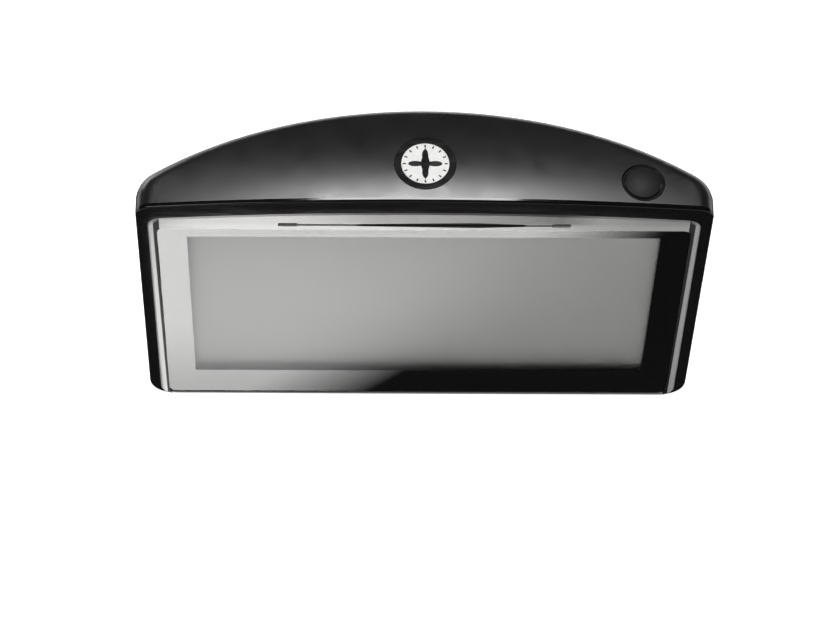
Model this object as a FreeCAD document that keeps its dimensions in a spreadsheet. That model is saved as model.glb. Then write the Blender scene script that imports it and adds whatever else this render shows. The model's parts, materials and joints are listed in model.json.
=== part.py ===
"""Portable in-car navigation unit: wide touchscreen, lens-shaped case, docking base.

Millimetres. X is the width, -Y is the way the screen faces, +Z is up. The origin is the
middle of the case's footprint, on the surface that the unit stands on. Depths are worked
out from the front plane (the front of the silver rim), and every sub-part's Placement
moves it forward by half of the case's depth.
"""
import FreeCAD, Part
import math
import os
import re
import Sketcher

SIZES = {
    # case
    "case_width": 118.0,
    "case_height": 80.0,
    "case_depth": 25.5,
    "wall_thick": 1.8,
    "crown_radius": 583.0,
    "top_radius": 60.0,
    "top_apex": 5.0,
    "plan_corner": 7.0,
    "side_depth": 3.8,
    "top_round": 3.5,
    "bottom_round": 5.5,
    "lip_thick": 0.9,
    "lip_round": 0.5,
    "fit_gap": 0.15,
    # rim, glass and display
    "rim_proud": 0.3,
    "rim_margin": 2.4,
    "rim_base": 0.5,
    "rim_band": 4.6,
    "rim_width": 1.7,
    "rim_foot": 0.5,
    "rim_corner": 3.0,
    "rim_edge": 0.3,
    "rim_gap": 0.1,
    "glass_corner": 1.8,
    "glass_thick": 1.2,
    "mask_thick": 0.2,
    "border_top": 3.35,
    "screen_level": 38.3,
    "window_width": 97.5,
    "window_height": 55.3,
    "window_step": 1.25,
    "gasket_wall": 1.0,
    "floor_thick": 1.3,
    "slot_level": 71.1,
    "slot_height": 0.8,
    "slot_reach": 26.0,
    "slot_recess": 0.5,
    "port_width": 4.0,
    "port_height": 1.3,
    "sensor_width": 3.0,
    "sensor_height": 1.6,
    "lcd_width": 105.5,
    "lcd_height": 67.2,
    "lcd_thick": 2.4,
    "chassis_wall": 0.5,
    "ear_offset": 30.0,
    "ear_width": 7.0,
    "ear_height": 3.2,
    "ribbon_width": 20.0,
    "ribbon_thick": 0.2,
    "ribbon_gap": 0.05,
    "ribbon_top": 24.0,
    "ribbon_hook": 2.4,
    # main board and what stands on it
    "board_width": 100.0,
    "board_bottom": 3.0,
    "board_top": 70.0,
    "board_thick": 1.2,
    "board_corner": 2.0,
    "spacer_length": 1.3,
    "spacer_radius": 2.0,
    "screw_radius": 0.9,
    "screw_gap": 0.1,
    "screw_head": 1.7,
    "head_thick": 1.0,
    "spacer_offset": 36.0,
    "spacer_high": 67.5,
    "post_offset": 45.0,
    "post_low": 13.0,
    "post_high": 64.0,
    "post_radius": 2.2,
    "post_length": 5.4,
    "post_gap": 0.2,
    "case_screw": 1.1,
    "case_head": 2.0,
    "case_head_thick": 1.4,
    "head_sink": 0.6,
    "boss_radius": 3.4,
    "shield_width": 22.0,
    "shield_height": 24.0,
    "shield_thick": 2.0,
    "shield_offset": 30.5,
    "shield_level": 52.0,
    "receiver_width": 12.0,
    "receiver_height": 10.0,
    "receiver_thick": 1.5,
    "patch_size": 15.0,
    "patch_thick": 4.0,
    "patch_offset": -30.0,
    "patch_level": 56.5,
    "battery_width": 54.0,
    "battery_height": 22.0,
    "battery_thick": 5.4,
    "battery_offset": 10.0,
    "battery_level": 24.0,
    "tape_thick": 0.6,
    "tape_margin": 4.0,
    # speaker
    "speaker_level": 54.0,
    "speaker_radius": 16.0,
    "basket_wall": 1.0,
    "basket_length": 6.0,
    "cone_thick": 0.6,
    "cone_depth": 3.2,
    "cone_inner": 5.0,
    "magnet_radius": 9.0,
    "magnet_thick": 4.0,
    "grille_radius": 17.5,
    "grille_thick": 1.0,
    "grille_ledge": 1.5,
    "grille_hole": 0.8,
    "grille_pitch": 3.0,
    # memory card
    "card_long": 32.0,
    "card_wide": 24.0,
    "card_thick": 2.1,
    "card_level": 36.0,
    "card_sink": 0.58,
    "card_corner": 4.0,
    "card_gap": 0.1,
    "slot_gap": 0.25,
    "socket_wall": 0.7,
    "socket_sink": 0.04,
    # underside
    "dock_width": 30.0,
    "dock_depth": 7.2,
    "dock_height": 8.0,
    "dock_wall": 1.0,
    "dock_pocket": 5.4,
    "contact_count": 10,
    "contact_pitch": 2.4,
    "contact_size": 0.6,
    "contact_length": 2.6,
    "peg_offset": 31.0,
    "peg_radius": 2.0,
    "peg_length": 4.0,
    "peg_wall": 1.4,
    "usb_offset": 21.5,
    "usb_width": 7.7,
    "usb_depth": 4.0,
    "usb_height": 8.6,
    "usb_wall": 0.4,
    "usb_pocket": 6.0,
    "jack_offset": -22.0,
    "jack_width": 6.4,
    "jack_depth": 6.0,
    "jack_height": 12.0,
    "jack_radius": 1.8,
    "jack_bore": 11.0,
    "nose_radius": 2.8,
    "nose_length": 1.5,
    "reset_offset": 38.5,
    "reset_radius": 1.0,
    "reset_gap": 0.08,
    "reset_sink": 0.6,
    "reset_flange": 1.5,
    "flange_thick": 0.5,
    "reset_travel": 0.4,
    "reset_width": 4.0,
    "reset_depth": 3.2,
    "reset_height": 2.2,
    # back
    "aerial_offset": -34.0,
    "aerial_level": 15.0,
    "aerial_radius": 2.2,
    "aerial_bore": 1.2,
    "aerial_length": 6.4,
    "plug_radius": 3.0,
    "plug_thick": 1.2,
    "light_offset": 26.0,
    "light_level": 70.0,
    "light_radius": 1.2,
    "label_width": 38.0,
    "label_height": 12.0,
    "label_level": 18.0,
    "label_thick": 0.3,
    # top
    "badge_depth": 9.4,
    "badge_radius": 6.35,
    "badge_disc": 4.9,
    "badge_gap": 0.05,
    "badge_seat": 1.25,
    "badge_rise": 0.15,
    "disc_sink": 0.2,
    "emblem_reach": 3.9,
    "emblem_waist": 1.0,
    "emblem_thick": 0.15,
    "button_offset": 44.5,
    "button_depth": 6.1,
    "recess_radius": 4.5,
    "recess_floor": 76.9,
    "ring_wall": 0.7,
    "ring_height": 1.0,
    "button_gap": 0.1,
    "cap_lift": 0.7,
    "cap_height": 0.7,
    "cap_dome": 0.5,
    "stem_radius": 1.5,
    "stem_gap": 0.06,
    "collar_length": 1.4,
    "collar_wall": 1.6,
    "stem_reach": 2.4,
    "button_travel": 0.5,
    "plunger_radius": 1.0,
    "plunger_seat": 1.2,
    "switch_size": 4.5,
    "switch_height": 1.4,
    "strip_width": 9.0,
    "strip_depth": 5.6,
    "strip_thick": 0.6,
}

doc = FreeCAD.newDocument("NavigationUnit")
sheet = doc.addObject("Spreadsheet::Sheet", "Sizes")
nodes = {}
placed_y = {}


# ---------------------------------------------------------------- sheet and expressions
def fill_sheet():
    tied = {alias: f"={text}" for alias, text in TIED.items()}
    for row, (alias, content) in enumerate({**SIZES, **tied}.items(), start=1):
        sheet.set(f"A{row}", alias)
        sheet.setAlias(f"B{row}", alias)
        sheet.set(f"B{row}", str(content))
    doc.recompute()


def cell(text):
    """The text of an expression with each size's name turned into its cell."""
    return re.sub(r"\b([a-z]+_[a-z_]+)\b", r"Sizes.\1", str(text))


def value(text):
    """The number that an expression gives."""
    return float(sheet.evalExpression(cell(text)))


def bind(thing, prop, text):
    thing.setExpression(prop, cell(text))


def about(centre, size):
    """The low and high ends of a size that is centred on a place."""
    return f"({centre}) - ({size}) / 2", f"({centre}) + ({size}) / 2"


def beside(side, centre):
    """A place mirrored to the left (-1) or the right (1)."""
    return f"{side} * ({centre})"


# ---------------------------------------------------------------- depths from the front plane
SEAM = "(rim_proud + lip_thick)"
MASK_FRONT = "(rim_proud + glass_thick)"
FLOOR_FRONT = "(rim_proud + glass_thick + mask_thick)"
FLOOR_BACK = f"({FLOOR_FRONT} + floor_thick)"
LCD_BACK = f"({FLOOR_BACK} + lcd_thick)"
CHASSIS_BACK = f"({LCD_BACK} + chassis_wall)"
BOARD_FRONT = f"({CHASSIS_BACK} + spacer_length)"
BOARD_BACK = f"({BOARD_FRONT} + board_thick)"
POST_BACK = f"({CHASSIS_BACK} + post_length)"
CARD_FRONT = f"({BOARD_BACK} + socket_wall + card_gap)"
CARD_BACK = f"({CARD_FRONT} + card_thick)"
SOCKET_BACK = f"({CARD_BACK} + card_gap + socket_wall)"

# ---------------------------------------------------------------- places in the front view
RIM_HALF = "(case_width / 2 - rim_margin)"
GLASS_HALF = "(case_width / 2 - rim_margin - rim_width)"
GLASS_FOOT = "(rim_base + rim_foot)"
GLASS_HEAD = "(screen_level + window_height / 2 + border_top)"
CHASSIS_HEAD = "(screen_level + lcd_height / 2 + rim_gap + chassis_wall)"
CHASSIS_FOOT = "(screen_level - lcd_height / 2 - rim_gap - chassis_wall)"
PORT_PLACE = "(slot_reach + port_width / 2)"


def crown_level(x, radius):
    """Height of a crown arc of that radius, concentric with the top's, at a place across."""
    return f"(case_height - crown_radius + sqrt(({radius})^2 - ({x})^2))"


def back_place(x, inset="0"):
    """Depth of the case's curved back, or of a skin inside it, at a place across."""
    return f"(case_depth - back_radius + sqrt((back_radius - ({inset}))^2 - ({x})^2))"


def side_place(depth, inset="0"):
    """Where that back, or a skin inside it, stands across the case at a depth."""
    return f"sqrt((back_radius - {inset})^2 - (back_radius - case_depth + {depth})^2)"


# ---------------------------------------------------------------- sizes tied to the others
BOW = "(case_depth - side_depth)"
TIED = {
    "back_radius": f"({BOW}^2 + (case_width / 2 - plan_corner)^2 - plan_corner^2)"
                   f" / (2 * ({BOW} - plan_corner))",
    "card_end": f"{side_place(f'({CARD_FRONT} + card_thick / 2)')} - card_sink",
    "socket_start": f"{side_place(SOCKET_BACK, 'wall_thick')} + socket_sink",
    "spacer_low": "wall_thick + 2 * fit_gap + flange_thick + reset_travel + reset_height"
                  " + screw_head + screw_gap",
    "peg_depth": f"{BOARD_BACK} + peg_radius + peg_wall + post_gap",
}


# ---------------------------------------------------------------- primitives and booleans
def place(thing, x, y, z):
    bind(thing, "Placement.Base.x", x)
    bind(thing, "Placement.Base.y", y)
    bind(thing, "Placement.Base.z", z)
    placed_y[thing.Name] = y


def box(name, x, y, z):
    """A box between pairs of low and high places."""
    thing = doc.addObject("Part::Box", name)
    bind(thing, "Length", f"({x[1]}) - ({x[0]})")
    bind(thing, "Width", f"({y[1]}) - ({y[0]})")
    bind(thing, "Height", f"({z[1]}) - ({z[0]})")
    place(thing, x[0], y[0], z[0])
    return thing


def upright(name, x, y, radius, span):
    """A cylinder that stands along Z."""
    thing = doc.addObject("Part::Cylinder", name)
    bind(thing, "Radius", radius)
    bind(thing, "Height", f"({span[1]}) - ({span[0]})")
    place(thing, x, y, span[0])
    return thing


def level(name, x, z, radius, span):
    """A cylinder that lies along Y."""
    thing = doc.addObject("Part::Cylinder", name)
    thing.Placement.Rotation = FreeCAD.Rotation(FreeCAD.Vector(1, 0, 0), -90)
    bind(thing, "Radius", radius)
    bind(thing, "Height", f"({span[1]}) - ({span[0]})")
    place(thing, x, span[0], z)
    return thing


def frustum(name, x, z, radii, span):
    """A cone along Y, from its front radius to its back radius."""
    thing = doc.addObject("Part::Cone", name)
    thing.Placement.Rotation = FreeCAD.Rotation(FreeCAD.Vector(1, 0, 0), -90)
    bind(thing, "Radius1", radii[0])
    bind(thing, "Radius2", radii[1])
    bind(thing, "Height", f"({span[1]}) - ({span[0]})")
    place(thing, x, span[0], z)
    return thing


def join(name, *things):
    whole = doc.addObject("Part::MultiFuse", name)
    whole.Shapes = list(things)
    return whole


def remove(name, base, *tools):
    whole = doc.addObject("Part::Cut", name)
    whole.Base = base
    whole.Tool = tools[0] if len(tools) == 1 else join(name + "_tools", *tools)
    return whole


def common(name, first, second):
    whole = doc.addObject("Part::Common", name)
    whole.Base = first
    whole.Tool = second
    return whole


def group(name, things):
    """Identical pieces kept as separate solids of one sub-part."""
    whole = doc.addObject("Part::Compound", name)
    whole.Links = list(things)
    return whole


def keep(label, thing):
    """Names a finished sub-part and moves it from front-plane depth to the case's middle."""
    thing.Label = label
    bind(thing, "Placement.Base.y", f"{placed_y.get(thing.Name, '0')} - case_depth / 2")
    nodes[label] = thing
    return thing


# ---------------------------------------------------------------- sketched bodies
PLANES = {
    "front": ("XZ_Plane", -1),
    "plan": ("XY_Plane", 1),
    "side": ("YZ_Plane", 1),
}


def arc_centre(start, end, radius, hollow):
    """Centre of an arc that bulges outward, or inward if hollow, on a loop drawn anticlockwise."""
    run = (end[0] - start[0], end[1] - start[1])
    length = math.hypot(*run)
    lift = math.sqrt(max(radius ** 2 - (length / 2) ** 2, 0))
    side = -1 if hollow else 1
    return (
        (start[0] + end[0]) / 2 - side * run[1] / length * lift,
        (start[1] + end[1]) / 2 + side * run[0] / length * lift,
    )


def pin_value(sketch, kind, geometry, point, text):
    """Adds a dimension to a sketch and ties it to the sheet."""
    number = value(text)
    if kind == "Radius":
        index = sketch.addConstraint(Sketcher.Constraint(kind, geometry, number))
    else:
        index = sketch.addConstraint(Sketcher.Constraint(kind, geometry, point, number))
    name = f"d{index}"
    sketch.renameConstraint(index, name)
    sketch.setExpression(f"Constraints.{name}", cell(text))


def draw_circle(sketch, x, y, radius):
    centre = FreeCAD.Vector(value(x), value(y), 0)
    circle = Part.Circle(centre, FreeCAD.Vector(0, 0, 1), value(radius))
    geometry = sketch.addGeometry(circle, False)
    pin_value(sketch, "DistanceX", geometry, 3, x)
    pin_value(sketch, "DistanceY", geometry, 3, y)
    pin_value(sketch, "Radius", geometry, 3, radius)


def draw_loop(sketch, loop):
    """A closed loop, anticlockwise. Each corner is (x, y), or (x, y, radius, hollow) when an
    arc of that radius arrives at it."""
    points = [(value(corner[0]), value(corner[1])) for corner in loop]
    ends = []
    for index, corner in enumerate(loop):
        start, end = points[index - 1], points[index]
        if len(corner) == 2:
            line = Part.LineSegment(FreeCAD.Vector(*start, 0), FreeCAD.Vector(*end, 0))
            ends.append((sketch.addGeometry(line, False), 1, 2))
            continue
        radius, hollow = value(corner[2]), corner[3]
        centre = arc_centre(start, end, radius, hollow)
        first, last = (end, start) if hollow else (start, end)
        angles = [math.atan2(p[1] - centre[1], p[0] - centre[0]) for p in (first, last)]
        circle = Part.Circle(FreeCAD.Vector(*centre, 0), FreeCAD.Vector(0, 0, 1), radius)
        geometry = sketch.addGeometry(Part.ArcOfCircle(circle, *angles), False)
        ends.append((geometry, 2, 1) if hollow else (geometry, 1, 2))
    for index, corner in enumerate(loop):
        geometry, _, last = ends[index]
        following, first, _ = ends[(index + 1) % len(loop)]
        sketch.addConstraint(
            Sketcher.Constraint("Coincident", geometry, last, following, first)
        )
        pin_value(sketch, "DistanceX", geometry, last, corner[0])
        pin_value(sketch, "DistanceY", geometry, last, corner[1])
        if len(corner) > 2:
            pin_value(sketch, "Radius", geometry, 0, corner[2])


def sketch_on(body, plane, offset, loops):
    role, sign = PLANES[plane]
    sketch = body.newObject("Sketcher::SketchObject", body.Name + "_sketch")
    origin = [item for item in body.Origin.OriginFeatures if item.Role == role][0]
    sketch.AttachmentSupport = [(origin, "")]
    sketch.MapMode = "FlatFace"
    bind(sketch, "AttachmentOffset.Base.z", f"{sign} * ({offset})")
    for loop in loops:
        if loop[0] == "circle":
            draw_circle(sketch, *loop[1:])
        else:
            draw_loop(sketch, loop)
    return sketch


def pad(body, plane, span, *loops):
    """Adds material over a span along the plane's own row axis."""
    feature = body.newObject("PartDesign::Pad", body.Name + "_pad")
    feature.Profile = sketch_on(body, plane, span[0], loops)
    feature.Reversed = plane == "front"
    bind(feature, "Length", f"({span[1]}) - ({span[0]})")
    doc.recompute()
    return feature


def carve(body, plane, span, *loops):
    """Takes material away over a span along the plane's own row axis."""
    before = body.Shape.Volume
    feature = body.newObject("PartDesign::Pocket", body.Name + "_pocket")
    feature.Profile = sketch_on(body, plane, span[0], loops)
    feature.Reversed = plane != "front"
    bind(feature, "Length", f"({span[1]}) - ({span[0]})")
    doc.recompute()
    if body.Shape.Volume >= before:
        raise RuntimeError(f"a pocket of {body.Name} cuts nothing")
    return feature


def rectangle(x, y):
    return [(x[0], y[0]), (x[1], y[0]), (x[1], y[1]), (x[0], y[1])]


def rounded(x, y, radius):
    """A rectangle with round corners."""
    low, high = f"({x[0]})", f"({x[1]})"
    foot, head = f"({y[0]})", f"({y[1]})"
    return [
        (f"{high} - {radius}", foot),
        (high, f"{foot} + {radius}", radius, False),
        (high, f"{head} - {radius}"),
        (f"{high} - {radius}", head, radius, False),
        (f"{low} + {radius}", head),
        (low, f"{head} - {radius}", radius, False),
        (low, f"{foot} + {radius}"),
        (f"{low} + {radius}", foot, radius, False),
    ]


def soften(body, kind, size, test):
    """Rounds or chamfers each edge of a body that the test picks."""
    base = body.Tip
    names = [f"Edge{i + 1}" for i, edge in enumerate(base.Shape.Edges) if test(edge.BoundBox)]
    feature = body.newObject(f"PartDesign::{kind}", f"{body.Name}_{kind.lower()}")
    feature.Base = (base, names)
    bind(feature, "Radius" if kind == "Fillet" else "Size", size)
    doc.recompute()
    return feature


def new_body(name):
    return doc.addObject("PartDesign::Body", name)


# ---------------------------------------------------------------- the case's outer shape
def plan_loop(inset):
    """The case seen from above: flat front, straight sides, round corners, bowed back."""
    half = f"(case_width / 2 - {inset})"
    corner = f"(plan_corner - {inset})"
    back = f"(back_radius - {inset})"
    centres = "(back_radius - plan_corner)"
    reach = "(case_width / 2 - plan_corner)"
    rise = f"sqrt({centres}^2 - {reach}^2)"
    turn = f"(case_depth - back_radius + {rise})"
    x = f"({reach} * {back} / {centres})"
    y = f"(case_depth - back_radius + {rise} * {back} / {centres})"
    return [
        (half, "0"),
        (half, turn),
        (x, y, corner, False),
        (f"-{x}", y, back, False),
        (f"-{half}", turn, corner, False),
        (f"-{half}", "0"),
    ]


def crown_groove(body, inset):
    """Cuts the top to a surface that bows gently both across the case and from front to back."""
    margin = "(case_depth / 6)"
    top = f"(case_height - {inset})"
    radius = f"(top_radius - {inset})"
    front, back = f"(-{margin})", f"(case_depth + {margin})"
    loop = [
        (front, f"{top} - {radius} + sqrt({radius}^2 - (top_apex - {front})^2)"),
        (back, f"{top} - {radius} + sqrt({radius}^2 - ({back} - top_apex)^2)", radius, True),
        (back, f"{top} + {margin} * 2"),
        (front, f"{top} + {margin} * 2"),
    ]
    sketch = sketch_on(body, "side", "0", [loop])
    centre = FreeCAD.Vector(0, value("case_height - crown_radius"), 0)
    axis = Part.LineSegment(centre, centre + FreeCAD.Vector(value("case_depth"), 0, 0))
    line = sketch.addGeometry(axis, True)
    for point, x in ((1, "0"), (2, "case_depth")):
        pin_value(sketch, "DistanceX", line, point, x)
        pin_value(sketch, "DistanceY", line, point, "case_height - crown_radius")
    groove = body.newObject("PartDesign::Groove", body.Name + "_groove")
    groove.Profile = sketch
    groove.ReferenceAxis = (sketch, ["Axis0"])
    groove.Midplane = True
    bind(groove, "Angle", "2 * asin((case_width / 2 + top_round) / crown_radius) + 2 deg")
    doc.recompute()


def case_slice(name, inset, start, end):
    """The case's outer shape, or a skin inside it, between two depths."""
    body = new_body(name)
    pad(body, "plan", (inset, "case_height"), plan_loop(inset))
    crown_groove(body, inset)
    middle = value("case_height / 2")

    def behind_front(bounds):
        return bounds.YMax > 0.01 and bounds.ZLength < middle

    soften(body, "Fillet", f"top_round - {inset}",
           lambda b: behind_front(b) and b.ZMin > middle)
    soften(body, "Fillet", f"bottom_round - {inset}",
           lambda b: behind_front(b) and b.ZMax < middle)
    beyond = "(case_width)"
    sheet_area = rectangle((f"-{beyond}", beyond), (f"-{beyond}", beyond))
    if end is not None:
        carve(body, "front", (end, "case_depth * 2"), sheet_area)
    if start is not None:
        carve(body, "front", ("-case_depth", start), sheet_area)
    return body


def rim_loop(grow):
    """The silver rim's outline, grown on every side; its top follows the case's crown."""
    half = f"({RIM_HALF} + {grow})"
    corner = f"(rim_corner + {grow})"
    foot = f"(rim_base - {grow})"
    radius = f"(crown_radius - rim_band + {grow})"
    reach = f"({half} - {corner})"
    turn = crown_level(reach, f"{radius} - {corner}")
    stretch = f"({radius} / ({radius} - {corner}))"
    x = f"({reach} * {stretch})"
    head = f"(case_height - crown_radius + ({turn} - case_height + crown_radius) * {stretch})"
    return [
        (reach, foot),
        (half, f"{foot} + {corner}", corner, False),
        (half, turn),
        (x, head, corner, False),
        (f"-{x}", head, radius, False),
        (f"-{half}", turn, corner, False),
        (f"-{half}", f"{foot} + {corner}"),
        (f"-{reach}", foot, corner, False),
    ]


# ---------------------------------------------------------------- front: case, rim, glass
def front_plate(name, loop, span):
    """A plate in the front view between two depths."""
    body = new_body(name)
    pad(body, "front", span, loop)
    return body


def glass_loop(shrink):
    x = (f"-{GLASS_HALF} + {shrink}", f"{GLASS_HALF} - {shrink}")
    return rounded(x, (f"{GLASS_FOOT} + {shrink}", f"{GLASS_HEAD} - {shrink}"), "glass_corner")


def window_loop(step):
    """The visible window, widened by a step on every side."""
    return rectangle(
        about("0", f"window_width + 2 * {step}"),
        about("screen_level", f"window_height + 2 * {step}"),
    )


def slot_loops(grow):
    """The thin slot in the rim's top band and the wider port at each end of it."""
    slot = rectangle(about("0", "2 * slot_reach"), about("slot_level", f"slot_height + 2 * {grow}"))
    ports = []
    for side in (-1, 1):
        across = about(beside(side, PORT_PLACE), f"port_width + 2 * {grow}")
        ports.append(rounded(across, about("slot_level", f"port_height + 2 * {grow}"), "0.4"))
    return slot, ports


def make_front_case():
    lip = case_slice("front_lip", "0", "rim_proud", SEAM)
    front = value("rim_proud")
    soften(lip, "Fillet", "lip_round",
           lambda b: b.YMax < front + 0.01 and b.ZMax > 1)
    tongue = case_slice("front_tongue", "(wall_thick + fit_gap)", SEAM, FLOOR_BACK)
    pocket = front_plate("front_pocket", rim_loop("rim_gap"), ("0", FLOOR_FRONT))
    window = front_plate("front_window", window_loop("window_step"), ("0", "case_depth"))
    holes = []
    for side in (-1, 1):
        holes.append(box(
            "sensor_hole",
            about(beside(side, PORT_PLACE), "sensor_width + 2 * fit_gap"),
            ("0", "case_depth"),
            about("slot_level", "sensor_height + 2 * fit_gap"),
        ))
        holes.append(level(
            "ear_hole", beside(side, "ear_offset"), EAR_LEVEL, "screw_radius + screw_gap",
            (FLOOR_FRONT, "case_depth"),
        ))
    bosses = [
        level("ear_boss", beside(side, "ear_offset"), EAR_LEVEL, "ear_height / 2",
              (FLOOR_FRONT, LCD_BACK))
        for side in (-1, 1)
    ]
    keep("front_case", remove("front_case_cut", join("front_shell", lip, tongue, *bosses),
                              pocket, window, *holes))


EAR_LEVEL = f"({CHASSIS_HEAD} + ear_height / 2)"


def make_rim():
    ring = front_plate("rim_ring", rim_loop("0"), ("0", FLOOR_FRONT))
    soften(ring, "Chamfer", "rim_edge", lambda b: b.YMax < 0.01)
    slot, ports = slot_loops("0")
    carve(ring, "front", ("-1", "case_depth"), glass_loop("0"))
    carve(ring, "front", ("-1", "case_depth"), slot)
    carve(ring, "front", ("-1", "case_depth"), *ports)
    keep("silver_rim", ring)
    keep("rim_slot_strip", front_plate("slot_strip", slot, ("slot_recess", FLOOR_FRONT)))
    for label, port in zip(("microphone_mesh", "light_sensor_lens"), ports):
        keep(label, front_plate(label + "_body", port, ("slot_recess", FLOOR_FRONT)))
    for label, side in (("microphone", -1), ("light_sensor", 1)):
        keep(label, box(
            label + "_body", about(beside(side, PORT_PLACE), "sensor_width"),
            (FLOOR_FRONT, FLOOR_BACK), about("slot_level", "sensor_height"),
        ))


def make_screen():
    glass = front_plate("glass_plate", glass_loop("rim_gap"), ("rim_proud", MASK_FRONT))
    keep("touch_glass", glass)
    mask = front_plate("mask_plate", glass_loop("rim_gap"), (MASK_FRONT, FLOOR_FRONT))
    carve(mask, "front", ("0", "case_depth"), window_loop("0"))
    keep("screen_mask", mask)
    gasket = front_plate("gasket_plate", window_loop("(window_step - rim_gap)"),
                         (FLOOR_FRONT, FLOOR_BACK))
    carve(gasket, "front", ("0", "case_depth"), window_loop("(window_step - gasket_wall)"))
    keep("display_gasket", gasket)
    across, up = about("0", "lcd_width"), about("screen_level", "lcd_height")
    keep("lcd_panel", box("lcd_body", across, (FLOOR_BACK, LCD_BACK), up))


def make_chassis():
    step = "(rim_gap + chassis_wall)"
    across = about("0", f"lcd_width + 2 * {step}")
    tray = box("tray", across, (FLOOR_BACK, CHASSIS_BACK), (CHASSIS_FOOT, CHASSIS_HEAD))
    hollow = box("tray_hollow", about("0", "lcd_width + 2 * rim_gap"), ("0", LCD_BACK),
                 about("screen_level", "lcd_height + 2 * rim_gap"))
    ears, holes, screws = [], [], []
    for side in (-1, 1):
        x = beside(side, "ear_offset")
        ears.append(box("ear", about(x, "ear_width"), (LCD_BACK, CHASSIS_BACK),
                        (CHASSIS_HEAD, f"{CHASSIS_HEAD} + ear_height")))
        hole = level("ear_bore", x, EAR_LEVEL, "screw_radius + screw_gap", ("0", "case_depth"))
        holes.append(hole)
        shank = level("ear_shank", x, EAR_LEVEL, "screw_radius",
                      (f"{FLOOR_FRONT} + screw_gap", CHASSIS_BACK))
        head = level("ear_head", x, EAR_LEVEL, "screw_head * 0.9",
                     (CHASSIS_BACK, f"{CHASSIS_BACK} + head_thick"))
        screws.append(cross_cut(join("ear_screw", shank, head), x, EAR_LEVEL,
                                f"{CHASSIS_BACK} + head_thick"))
    body = remove("tray_cut", tray, hollow)
    keep("display_chassis", remove("chassis_cut", join("chassis_join", body, *ears), *holes))
    keep("chassis_screws", group("chassis_screw_set", screws))


def cross_cut(screw, x, z, back):
    """Cuts a cross recess into the back of a screw's head."""
    arms = []
    for long, wide in (("1.8", "0.4"), ("0.4", "1.8")):
        arms.append(box("cross_arm", about(x, long), (f"({back}) - 0.5", f"({back}) + 1"),
                        about(z, wide)))
    return remove("crossed_screw", screw, *arms)


def make_ribbon():
    """The flat cable that hooks round the chassis's foot and runs up to its connector."""
    back = f"({CHASSIS_BACK} + ribbon_gap)"
    foot = f"({CHASSIS_FOOT} - ribbon_gap)"
    outer = f"({back} + ribbon_thick)"
    low = f"({foot} - ribbon_thick)"
    body = new_body("ribbon")
    start = f"({back} - ribbon_hook)"
    loop = [(start, low), (outer, low), (outer, "ribbon_top"), (back, "ribbon_top"),
            (back, foot), (start, foot)]
    pad(body, "side", about("0", "ribbon_width"), loop)
    keep("display_ribbon", body)
    keep("ribbon_connector", box(
        "ribbon_socket", about("0", "ribbon_width + 2"), (outer, BOARD_FRONT),
        ("ribbon_top - 4", "ribbon_top + 1"),
    ))


# ---------------------------------------------------------------- main board and its parts
def corners(offset, low, high):
    return [(beside(side, offset), z) for side in (-1, 1) for z in (low, high)]


def make_board():
    body = front_plate(
        "board_plate",
        rounded(about("0", "board_width"), ("board_bottom", "board_top"), "board_corner"),
        (BOARD_FRONT, BOARD_BACK),
    )
    spots = corners("spacer_offset", "spacer_low", "spacer_high")
    posts = corners("post_offset", "post_low", "post_high")
    screw_holes = [("circle", x, z, "screw_radius + screw_gap") for x, z in spots]
    post_holes = [("circle", x, z, "post_radius + post_gap") for x, z in posts]
    carve(body, "front", ("0", "case_depth"), *screw_holes, *post_holes)
    keep("main_board", body)
    spacers, screws, stands, case_screws = [], [], [], []
    for x, z in spots:
        blank = level("spacer", x, z, "spacer_radius", (CHASSIS_BACK, BOARD_FRONT))
        bore = level("spacer_bore", x, z, "screw_radius + screw_gap", ("0", "case_depth"))
        spacers.append(remove("spacer_cut", blank, bore))
        shank = level("board_shank", x, z, "screw_radius",
                      (f"{CHASSIS_BACK} + screw_gap", BOARD_BACK))
        head = level("board_head", x, z, "screw_head", (BOARD_BACK, f"{BOARD_BACK} + head_thick"))
        screws.append(cross_cut(join("board_screw", shank, head), x, z,
                                f"{BOARD_BACK} + head_thick"))
    for x, z in posts:
        blank = level("post", x, z, "post_radius", (CHASSIS_BACK, POST_BACK))
        bore = level("post_bore", x, z, "case_screw + screw_gap",
                     (f"{CHASSIS_BACK} + 1", "case_depth"))
        stands.append(remove("post_cut", blank, bore))
        seat = f"({POST_BACK} + fit_gap + head_sink)"
        shank = level("case_shank", x, z, "case_screw", (f"{CHASSIS_BACK} + 1.5", seat))
        head = level("case_head_disc", x, z, "case_head", (seat, f"{seat} + case_head_thick"))
        case_screws.append(cross_cut(join("case_screw_join", shank, head), x, z,
                                     f"{seat} + case_head_thick"))
    keep("board_spacers", group("spacer_set", spacers))
    keep("board_screws", group("board_screw_set", screws))
    keep("case_posts", group("post_set", stands))
    keep("case_screws", group("case_screw_set", case_screws))


def on_board(label, x, z, thick, gap="0"):
    """A box on the back of the main board."""
    depth = (f"{BOARD_BACK} + {gap}", f"{BOARD_BACK} + {gap} + {thick}")
    return keep(label, box(label + "_body", x, depth, z))


def make_electronics():
    on_board("processor_shield", about("shield_offset", "shield_width"),
             about("shield_level", "shield_height"), "shield_thick")
    on_board("gps_antenna", about("patch_offset", "patch_size"),
             about("patch_level", "patch_size"), "patch_thick", "receiver_thick")
    on_board("receiver_shield", about("patch_offset", "receiver_width"),
             about("patch_level", "receiver_height"), "receiver_thick")
    on_board("battery_tape", about("battery_offset", "battery_width - tape_margin"),
             about("battery_level", "battery_height - tape_margin"), "tape_thick")
    cell_body = front_plate(
        "battery_plate",
        rounded(about("battery_offset", "battery_width"),
                about("battery_level", "battery_height"), "1.5"),
        (f"{BOARD_BACK} + tape_thick", f"{BOARD_BACK} + tape_thick + battery_thick"),
    )
    keep("battery", cell_body)


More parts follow.
